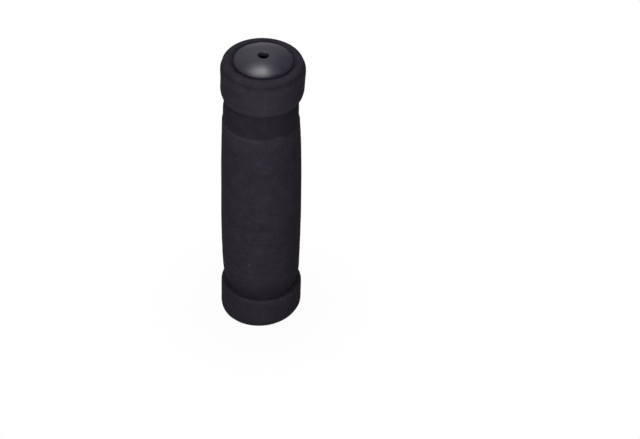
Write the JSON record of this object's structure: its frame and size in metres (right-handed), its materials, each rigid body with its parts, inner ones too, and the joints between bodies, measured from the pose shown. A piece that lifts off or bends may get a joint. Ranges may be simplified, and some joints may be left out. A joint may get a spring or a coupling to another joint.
{
  "type": "foam handlebar grip",
  "caption": "Turned closed-cell foam handlebar sleeve with a soft collar at each end, a slim barrel between them and a domed push-in plug in its outer end.",
  "frame": {"origin": "centre of the open end's flat face, on which the grip stands", "axes": "+Z along the bore from the open end to the plug; X and Y are any two directions across it"},
  "size_m": [0.0348, 0.0348, 0.1317],
  "materials": {
    "foam": "matt closed-cell foam, ground surface",
    "plug": "moulded plastic, satin"
  },
  "bodies": {
    "root": {"foam_sleeve": "foam", "end_plug": "plug"}
  },
  "joints": []
}
